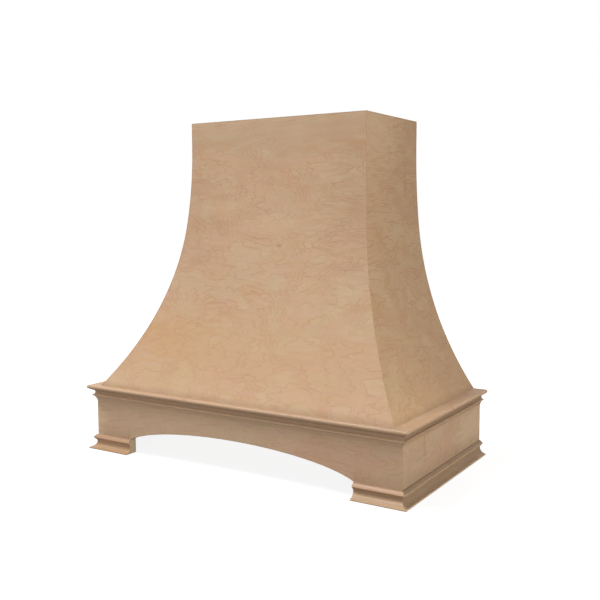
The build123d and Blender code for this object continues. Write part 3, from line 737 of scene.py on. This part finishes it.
class Wood:
    """One wood material in the making: its colour, roughness and relief."""

    def __init__(self, name):
        self.material = bpy.data.materials.new(name)
        self.material.use_nodes = True
        self.net = Net(self.material.node_tree)
        self.shader = self.material.node_tree.nodes["Principled BSDF"]
        self.shader.inputs["Specular IOR Level"].default_value = bare_wood_specular
        self.place = self.net.place()
        self.x, self.y, self.z = self.net.split(self.place)

    def axes(self, names):
        """The axes of the hood in a given order, such as "zxy"."""
        by_name = {"x": self.x, "y": self.y, "z": self.z}
        return [by_name[name] for name in names]

    def lay(self, along, across, deep, seed):
        """Lay the grain, shifted by a seed so that no two boards share their figure."""
        self.shift = Vector((1.7 * seed + 0.3, 2.9 * seed + 1.1, 0.7 * seed))
        self.grain = self.net.vector("ADD", self.net.join(along, across, deep), self.shift)

    def on_board(self, along, across):
        """A spot on the board, measured like the hood and not like the shifted grain."""
        return Vector((along, across, 0)) + self.shift

    def maple(self, warm, cool, figure, line_share, heart=(0, 0), straight_from=far_above):
        """Maple with its figure about a heart, its lines straight above a given height."""
        net = self.net
        seen = net.effect(
            maple_figure,
            Place=self.grain,
            Heart=self.on_board(*heart),
            Straight_from=straight_from + self.shift.y,
            **figure,
        )
        tone = net.mix(seen["Tint"], warm, cool)
        tone = net.mix(net.times(seen["Stain"], stain_share), tone, maple_stain)
        tone = net.shade(tone, seen["Shade"])
        blush = net.mix(seen["Blush"], yellower, pinker)
        tone = net.mix(1.0, tone, blush, blend="MULTIPLY")
        tone = net.mix(net.times(seen["Line"], line_share), tone, maple_line)
        tone = net.mix(net.times(seen["Fleck"], fleck_share), tone, maple_fleck)
        self.tone = net.mix(net.times(seen["Speck"], speck_share), tone, maple_speck)
        self.rough = net.math("MULTIPLY_ADD", seen["Shade"], -rough_fall, rough_base)
        self.relief = net.math("MULTIPLY_ADD", seen["Line"], -line_groove, seen["Shade"])

    def stain(self, centre, size, colour, share, fray=1.5):
        """A stain or streak of its own at a spot on the board, or a patch of painted shade."""
        net = self.net
        size = (size[0], size[1], 1.0)
        centre = self.on_board(*centre)
        seen = net.effect(patch, Place=self.grain, Centre=centre, Size=size, Fray=fray)["Patch"]
        self.tone = net.mix(net.times(seen, share), self.tone, colour)

    def streak(self, low, high, colour, share):
        """A level band of painted highlight or painted shade between two heights, with soft edges."""
        net = self.net
        softness = 1 * MM
        half = (high - low) / 2
        away = net.math("ABSOLUTE", net.less(self.z, (low + high) / 2))
        seen = net.ease(away, half - softness, half + softness, share, 0.0)
        self.tone = net.mix(seen, self.tone, colour)

    def paint_end_light(self, share):
        """Painted light: the ends beside the arch made paler."""
        net = self.net
        from_end = net.less(net.math("ABSOLUTE", self.x), arch_half_w)
        at_end = net.ease(from_end, 0.2 * MM, 0.8 * MM, share, 0.0)
        on_foot = net.ease(self.z, base_trim_h - 1 * MM, base_trim_h, 1.0, 0.0)
        self.tone = net.mix(net.times(at_end, on_foot), self.tone, painted_end_light)

    def birch(self, light, dark):
        """The colour of plain rotary-cut birch, also the inner face of a maple panel."""
        net = self.net
        straight_from = far_above + self.shift.y
        seen = net.effect(maple_figure, Place=self.grain, Straight_from=straight_from, **birch_figure)
        tone = net.shade(net.mix(seen["Tint"], light, dark), seen["Shade"])
        tone = net.mix(net.times(seen["Line"], birch_line_share), tone, maple_line)
        return net.mix(net.times(seen["Speck"], birch_speck_share), tone, maple_speck)

    def show_plies(self, edge_mask, depth, ply):
        """Show the plies of a sheet where the mask is 1."""
        net = self.net
        seen = net.effect(plies, Place=self.place, Depth=depth, Ply=ply)
        edge = net.mix(seen["Cross"], long_ply, cross_ply)
        edge = net.mix(net.times(seen["Glue"], glue_share), edge, ply_glue)
        edge = net.shade(edge, net.swing(seen["Chip"], chip_depth))
        self.tone = net.mix(edge_mask, self.tone, edge)
        self.rough = net.between(edge_mask, self.rough, ply_roughness)
        self.relief = net.between(edge_mask, self.relief, net.times(seen["Chip"], ply_relief))

    def brown_edge(self, mask, share):
        """A brown line along an edge."""
        self.tone = self.net.mix(self.net.times(mask, share), self.tone, arris_brown)

    def paint_recess_shade(self, reach, share, upward=0.0):
        """Painted shade in the depth of coves and corners, where the wood is closed in."""
        depth = self.net.effect(recess, Reach=reach, Upward=upward)["Depth"]
        self.tone = self.net.mix(self.net.times(depth, share), self.tone, painted_shade_brown)

    def finish(self, edge_share=0.0, edge_radius=eased_radius):
        """Eased arrises, browned by a share, and a fine raised grain. Returns the material."""
        net = self.net
        edge = net.effect(eased_edge, Place=self.place, Radius=edge_radius)
        self.brown_edge(edge["Edge"], edge_share)
        raised = net.node("ShaderNodeBump")
        raised.inputs["Distance"].default_value = relief_height
        raised.inputs["Strength"].default_value = relief_strength
        net.put(raised.inputs["Height"], self.relief)
        net.put(raised.inputs["Normal"], edge["Normal"])
        net.put(self.shader.inputs["Base Color"], self.tone)
        net.put(self.shader.inputs["Roughness"], self.rough)
        net.put(self.shader.inputs["Normal"], raised.outputs[0])
        return self.material


def dress(material, *node_names):
    for name in node_names:
        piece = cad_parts[name]
        piece.data.materials.clear()
        piece.data.materials.append(material)


# -------- the bent panels
veneer_t = 0.7 * MM
back_tolerance = 0.5 * MM
bent_ply_t = skin_t / 7
lines_fade_from, lines_are_bold_at = 250 * MM, 600 * MM
front_heart, side_heart = (205 * MM, 745 * MM), (60 * MM, 850 * MM)
front_lines_straight_from = 805 * MM
# Painted light and shade on the side panels: lighter at the front, darker towards the wall
painted_light_front, painted_shade_wall = 1.08, 0.91
brown_edge_share, hip_brown_edge_share = 0.6, 0.45


def depth_behind(wood, flare, out):
    return wood.net.effect(
        bend_depth,
        Out=out,
        Height=wood.z,
        Upper_radius=flare.upper_r,
        Lower_radius=flare.lower_r,
        Lower_out=flare.lower_out,
        Lower_height=flare.lower_z,
    )["Depth"]


def bent_panel(name, faces_front, seed, warm, cool, line_shares, stains=()):
    """Bent plywood: a maple face, a plain back, plies on its edges and brown lines on sawn edges."""
    wood = Wood(name)
    net = wood.net
    bold = net.ease(wood.z, lines_fade_from, lines_are_bold_at, *line_shares)
    if faces_front:
        depth = depth_behind(wood, front_flare, net.less(chimney_front_y, wood.y))
        wood.lay(wood.x, wood.z, depth, seed)
        wood.maple(warm, cool, panel_figure, bold, front_heart, front_lines_straight_from)
        left_out = net.less(net.times(wood.x, -1.0), chimney_half_w)
        behind_left = depth_behind(wood, side_flare, left_out)
        wood.brown_edge(net.ease(behind_left, 0.0, 1.6 * edge_line, 1.0, 0.0), hip_brown_edge_share)
    else:
        side_out = net.less(net.math("ABSOLUTE", wood.x), chimney_half_w)
        depth = depth_behind(wood, side_flare, side_out)
        wood.lay(wood.y, wood.z, depth, seed)
        wood.maple(warm, cool, panel_figure, bold, side_heart)
        # Painted light and shade: lighter towards the front, darker towards the wall
        painted_falloff_to_wall = net.ease(wood.y, -220 * MM, 250 * MM, painted_light_front, painted_shade_wall)
        wood.tone = net.shade(wood.tone, painted_falloff_to_wall)
        wood.brown_edge(net.ease(wood.y, wall_y - 1.5 * edge_line, wall_y, 0.0, 1.0), brown_edge_share)
    # Stains, and on the front a patch of painted shade
    for stain in stains:
        wood.stain(*stain)
    wood.brown_edge(net.ease(wood.z, total_h - edge_line, total_h, 0.0, 1.0), brown_edge_share)
    # Painted shade in the corners, and a painted shadow just above the seat
    wood.paint_recess_shade(28 * MM, 0.35)
    painted_seat_shadow = net.ease(net.less(wood.z, seat_z), 0.0, 17 * MM, 0.26, 0.0)
    wood.tone = net.mix(painted_seat_shadow, wood.tone, painted_shade_brown)
    inner_face = net.math("GREATER_THAN", depth, skin_t - back_tolerance)
    wood.tone = net.mix(inner_face, wood.tone, wood.birch(panel_back_light, panel_back_dark))
    inside = net.math("GREATER_THAN", depth, veneer_t)
    wood.show_plies(net.times(inside, net.less(1.0, inner_face)), depth, bent_ply_t)
    return wood.finish(edge_radius=0.5 * MM)


def dress_chimney():
    # Each patch of stain or painted shade: its spot on the board, size, colour, share and fray
    front_stains_and_shade = [
        ((-250 * MM, 310 * MM), (190 * MM, 90 * MM), maple_stain, 0.30),
        ((245 * MM, 808 * MM), (60 * MM, 10 * MM), maple_stain, 0.45),
        ((-225 * MM, 785 * MM), (22 * MM, 6 * MM), maple_fleck, 0.5),
        ((-180 * MM, 655 * MM), (125 * MM, 30 * MM), pale_maple, 0.2),
        ((10 * MM, 612 * MM), (115 * MM, 36 * MM), pale_maple, 0.22),
        ((32 * MM, 557 * MM), (13 * MM, 6 * MM), maple_line, 0.4),
        # Painted shade: the upper right of the front made darker
        ((275 * MM, 690 * MM), (170 * MM, 330 * MM), dull_maple, 0.22),
        ((-240 * MM, 640 * MM), (130 * MM, 200 * MM), dull_maple, 0.16),
        ((-160 * MM, 450 * MM), (250 * MM, 130 * MM), dull_maple, 0.09),
        ((-40 * MM, 850 * MM), (420 * MM, 95 * MM), mineral_grey, 0.15),
        ((0.0, 280 * MM), (900 * MM, 150 * MM), maple_stain, 0.14),
    ]
    right_stains = [
        ((176 * MM, 712 * MM), (12 * MM, 44 * MM), maple_red, 0.32, 2.2),
        ((0.0, 860 * MM), (190 * MM, 220 * MM), pale_maple, 0.34),
    ]
    panels = [
        # name, if it faces the front, seed, tones, line shares low and high, stains and painted shade
        ("front", True, 1, panel_warm, panel_cool, (0.33, 0.41), front_stains_and_shade),
        ("right side", False, 2, side_warm, side_cool, (0.38, 0.50), right_stains),
        ("left side", False, 5, left_warm, left_cool, (0.27, 0.34), ()),
    ]
    for name, *looks in panels:
        node_name = "chimney_" + name.split()[0] + "_panel"
        dress(bent_panel("bent maple panel, " + name, *looks), node_name)


# -------- the apron's boards
def apron_front_board():
    wood = Wood("maple apron board, front")
    net = wood.net
    wood.lay(wood.x, wood.z, wood.y, seed=4)
    wood.maple(apron_warm, apron_cool, board_figure, 0.26, heart=(270 * MM, 90 * MM))
    # Painted shadow on the board under the top moulding's lip
    painted_shadow_under_lip = net.ease(wood.z, 60 * MM, 100 * MM, 0.05, 0.42)
    wood.paint_recess_shade(50 * MM, painted_shadow_under_lip)
    across = net.over(wood.x, arch_ellipse_w)
    rise = net.math("SQRT", net.math("MAXIMUM", net.less(1.0, net.times(across, across)), 0.0))
    arch_z = net.math("MULTIPLY_ADD", rise, arch_ellipse_h, arch_centre_z)
    from_arch = net.math("ABSOLUTE", net.less(wood.z, arch_z))
    in_arch = net.math("LESS_THAN", net.math("ABSOLUTE", wood.x), arch_half_w)
    wood.brown_edge(net.times(net.ease(from_arch, 0.0, edge_line, 1.0, 0.0), in_arch), 0.5)
    # Painted shade on the feet, just above the base mouldings
    painted_shade_low_down = net.ease(wood.z, base_trim_h, 2 * base_trim_h, 0.2, 0.0)
    painted_shade_over_foot = net.times(painted_shade_low_down, net.less(1.0, in_arch))
    wood.tone = net.mix(painted_shade_over_foot, wood.tone, painted_shade_brown)
    # Painted shade: the right end of the board made darker
    wood.stain((400 * MM, 70 * MM), (340 * MM, 140 * MM), arris_brown, 0.13)
    wood.stain((-465 * MM, 85 * MM), (55 * MM, 75 * MM), pale_maple, 0.75)
    wood.stain((-180 * MM, 120 * MM), (220 * MM, 70 * MM), pale_maple, 0.16)
    # Painted light on the ends beside the arch
    wood.paint_end_light(0.95)
    return wood.finish()


def apron_side_board(name, seed, stains=()):
    wood = Wood(name)
    net = wood.net
    wood.lay(wood.y, wood.z, wood.x, seed)
    wood.maple(panel_warm, panel_cool, side_board_figure, 0.36, heart=(170 * MM, 80 * MM))
    for stain in stains:
        wood.stain(*stain)
    # Painted shade in the corners, and painted shade just above the base moulding
    wood.paint_recess_shade(30 * MM, 0.25)
    wood.tone = net.shade(wood.tone, net.ease(wood.z, base_trim_h, 2 * base_trim_h, 0.84, 1.0))
    wood.brown_edge(net.ease(wood.y, wall_y - edge_line, wall_y, 0.0, 1.0), 0.5)
    return wood.finish()


def dress_apron():
    right_stains = [
        ((-112 * MM, 108 * MM), (11 * MM, 44 * MM), maple_red, 0.26, 2.2),
        ((200 * MM, 85 * MM), (150 * MM, 75 * MM), pale_maple, 0.6),
        ((-170 * MM, 80 * MM), (120 * MM, 90 * MM), dull_maple, 0.14),
    ]
    dress(apron_front_board(), "apron_front")
    dress(apron_side_board("maple apron board, right side", 7, right_stains), "apron_right")
    dress(apron_side_board("maple apron board, left side", 10), "apron_left")


# -------- the mouldings
def moulding(name, runs_across, seed, sheen, cove_shade_share, painted_bands, warm, cool):
    """Machined moulding, burnished by the cutters to a satin sheen of its own.

    The cove share is how dark the painted shade in its hollows is. Each band runs along the
    moulding between two heights: a painted highlight on a crest, or painted shade in a hollow.
    """
    wood = Wood(name)
    wood.lay(*wood.axes("xzy" if runs_across else "yzx"), seed)
    wood.maple(warm, cool, trim_figure, trim_line_share)
    # Painted shade in the coves, deepest under the lips
    wood.paint_recess_shade(11 * MM, cove_shade_share, upward=0.8)
    for streak in painted_bands:
        wood.streak(*streak)
    wood.rough = wood.net.less(wood.rough, 0.4 * sheen)
    wood.shader.inputs["Specular IOR Level"].default_value = sheen
    return wood


def dress_top_moulding():
    # Each painted highlight or shade band: from a height, to a height, its colour and share
    low = top_trim_low
    front_painted_bands = [
        (low + 17 * MM, low + 30 * MM, painted_hollow_shade, 0.2),
        (low + 12 * MM, low + 16.5 * MM, painted_crest_highlight, 1.0),
        (low + 3 * MM, low + 11 * MM, pale_maple, 0.22),
    ]
    side_painted_bands = [
        (low + 21 * MM, low + 31 * MM, painted_hollow_shade, 0.36),
        (low + 15.5 * MM, low + 20.5 * MM, painted_hollow_shade, 0.5),
        (low + 12.5 * MM, low + 14.5 * MM, pale_maple, 0.2),
    ]
    name = "maple moulding, top front"
    front = moulding(name, True, 6, 0.40, 0.85, front_painted_bands, *front_trim_tones)
    duller = front.net.ease(front.x, -half_w, half_w, 1.0, 0.9)
    front.tone = front.net.shade(front.tone, duller)
    dress(front.finish(), "top_moulding_front")
    name = "maple moulding, top sides"
    sides = moulding(name, False, 8, 0.20, 1.0, side_painted_bands, *side_trim_tones)
    dress(sides.finish(), "top_moulding_left", "top_moulding_right")


def dress_base_moulding():
    past_top = base_trim_h + 5 * MM
    # Bands of painted highlight and painted shade: from a height, to a height, colour and share
    right_painted_bands = [
        (34.5 * MM, past_top, painted_hollow_shade, 0.12),
        (15.5 * MM, 27 * MM, painted_hollow_shade, 0.36),
        (9 * MM, 12 * MM, pale_maple, 0.5),
        (6.5 * MM, 8 * MM, painted_hollow_shade, 0.35),
        (3 * MM, 5.5 * MM, pale_maple, 0.5),
    ]
    left_painted_bands = [
        (30 * MM, past_top, painted_hollow_shade, 0.12),
        (15.5 * MM, 27 * MM, painted_hollow_shade, 0.10),
        (3 * MM, 12 * MM, painted_hollow_shade, 0.06),
    ]
    side_painted_bands = [
        (31.5 * MM, past_top, painted_hollow_shade, 0.28),
        (21 * MM, 30.5 * MM, pale_maple, 0.6),
        (5 * MM, 15 * MM, painted_hollow_shade, 0.22),
        (0.0, 3 * MM, pale_maple, 0.7),
    ]
    for side, cove_shade_share, painted_bands in (("left", 0.7, left_painted_bands), ("right", 1.0, right_painted_bands)):
        name = "maple moulding, base return " + side
        base_return = moulding(name, True, 3, 0.36, cove_shade_share, painted_bands, *return_tones)
        # Painted light on the ends beside the arch
        base_return.paint_end_light(0.7)
        dress(base_return.finish(), "base_return_" + side)
    # Painted shade: the side base mouldings take darker tones than the returns
    name = "maple moulding, base sides, in painted shade"
    sides = moulding(name, False, 9, 0.20, 0.6, side_painted_bands, *shaded_base_side_tones)
    dress(sides.finish(), "base_moulding_left", "base_moulding_right")


# -------- the pieces inside
def sheet_plywood(name, axes, centre, thickness, ply_count):
    """Flat birch plywood whose thickness runs along the last of its axes, about a centre.

    A pair of sheets that mirror each other, left and right, share one material.
    """
    face_veneer_t = 0.4 * MM
    wood = Wood(name)
    net = wood.net
    along, across, through = wood.axes(axes)
    offset = net.less(net.math("ABSOLUTE", through), abs(centre))
    depth = net.add(offset, thickness / 2)
    wood.lay(along, across, depth, seed=3)
    wood.tone = wood.birch(birch_light, birch_dark)
    wood.rough = net.math("MULTIPLY_ADD", net.noise(wood.place, 90.0, detail=2.0), 0.2, 0.5)
    wood.relief = net.noise(wood.grain, 260.0, detail=2.0)
    inside = net.math("COMPARE", offset, 0.0, thickness / 2 - face_veneer_t)
    wood.show_plies(inside, depth, thickness / ply_count)
    return wood.finish(0.25)


def both_sides(name):
    return "left_" + name, "right_" + name


def dress_plywood():
    rib_t = 18 * MM
    rib_plies, insert_plies = 13, 9
    insert_low, insert_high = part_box("insert_panel")
    insert_t = insert_high.z - insert_low.z
    long_frames = ("base_frame_back", "base_frame_front")
    short_frames = ("base_frame_left", "base_frame_right")
    sheets = [
        # name, axes along, across and through it, thickness, plies, nodes
        ("front ribs", "zyx", rib_t, rib_plies, both_sides("front_rib")),
        ("side ribs", "zxy", rib_t, rib_plies, both_sides("side_rib")),
        ("back ribs", "zxy", rib_t, rib_plies, both_sides("back_rib")),
        ("long frame", "xyz", rib_t, rib_plies, long_frames),
        ("short frame", "yxz", rib_t, rib_plies, short_frames),
        ("insert panel", "xyz", insert_t, insert_plies, ("insert_panel",)),
    ]
    for name, axes, thickness, ply_count, nodes in sheets:
        low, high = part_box(nodes[-1])
        centre = ((low + high) / 2)["xyz".index(axes[-1])]
        dress(sheet_plywood("birch plywood, " + name, axes, centre, thickness, ply_count), *nodes)


def sawn_timber(name, axes):
    """Planed poplar. Axes gives which of x, y and z run along, across and into the board."""
    ring_width = 6.5 * MM
    wood = Wood(name)
    net = wood.net
    own = net.node("ShaderNodeObjectInfo").outputs["Random"]
    own_shift = net.join(net.times(own, 3.0), net.times(own, 0.11), 0.0)
    grain = net.vector("ADD", net.join(*wood.axes(axes)), own_shift)
    seen = net.effect(timber, Place=grain, Ring_width=ring_width)
    tone = net.mix(seen["Streak"], poplar_dark, poplar_light)
    tone = net.mix(net.times(seen["Ring"], poplar_ring_share), tone, poplar_ring)
    wood.tone = net.shade(tone, net.swing(seen["Fibre"], 0.22))
    wood.rough = net.math("MULTIPLY_ADD", seen["Fibre"], 0.2, 0.55)
    wood.relief = seen["Fibre"]
    return wood.finish(0.25, edge_radius=0.8 * MM)


def dress_timber():
    uprights = (*both_sides("hip_post"), *both_sides("front_block"), *both_sides("rear_block"))
    rails = ("top_front_rail", "hanging_rail", "back_spreader", "apron_back_rail")
    cleats = ("front_cleat", "back_cleat")
    side_rails = ("top_left_rail", "top_right_rail", *both_sides("cleat"))
    dress(sawn_timber("poplar, upright", "zxy"), *uprights)
    dress(sawn_timber("poplar, crosswise", "xzy"), *rails, *cleats)
    dress(sawn_timber("poplar, towards the wall", "yzx"), *side_rails)


def screw_zinc():
    """Yellowish zinc plating with fine turned marks and a few dull spots."""
    turned_mark_depth = 0.02 * MM
    dull_spot_scale, turned_mark_scale = 700.0, 2600.0
    material = bpy.data.materials.new("zinc-plated screws")
    material.use_nodes = True
    net = Net(material.node_tree)
    shader = material.node_tree.nodes["Principled BSDF"]
    shader.inputs["Metallic"].default_value = 1.0
    place = net.place()
    dull = net.ease(net.noise(place, dull_spot_scale, detail=3.0), 0.35, 0.70)
    fine = net.noise(place, turned_mark_scale, detail=2.0)
    tone = net.mix(dull, zinc_bright, zinc_dull)
    edge = net.effect(eased_edge, Place=place, Radius=0.25 * MM)
    net.put(shader.inputs["Base Color"], net.mix(edge["Edge"], tone, zinc_edge))
    net.put(shader.inputs["Roughness"], net.math("MULTIPLY_ADD", dull, 0.2, 0.28))
    raised = net.node("ShaderNodeBump")
    raised.inputs["Distance"].default_value = turned_mark_depth
    net.put(raised.inputs["Height"], fine)
    net.put(raised.inputs["Normal"], edge["Normal"])
    net.put(shader.inputs["Normal"], raised.outputs[0])
    return material


def dress_screws():
    held = ("cleat", "base_frame", "insert_panel", "rib", "spreader", "hanging_rail", "block")
    dress(screw_zinc(), *[name + "_screws" for name in held])


bpy.context.scene.view_settings.view_transform = "Standard"
add_camera()
add_world()
for lamp in lamps:
    add_lamp(*lamp)
add_floor()
dress_chimney()
dress_apron()
dress_top_moulding()
dress_base_moulding()
dress_plywood()
dress_timber()
dress_screws()
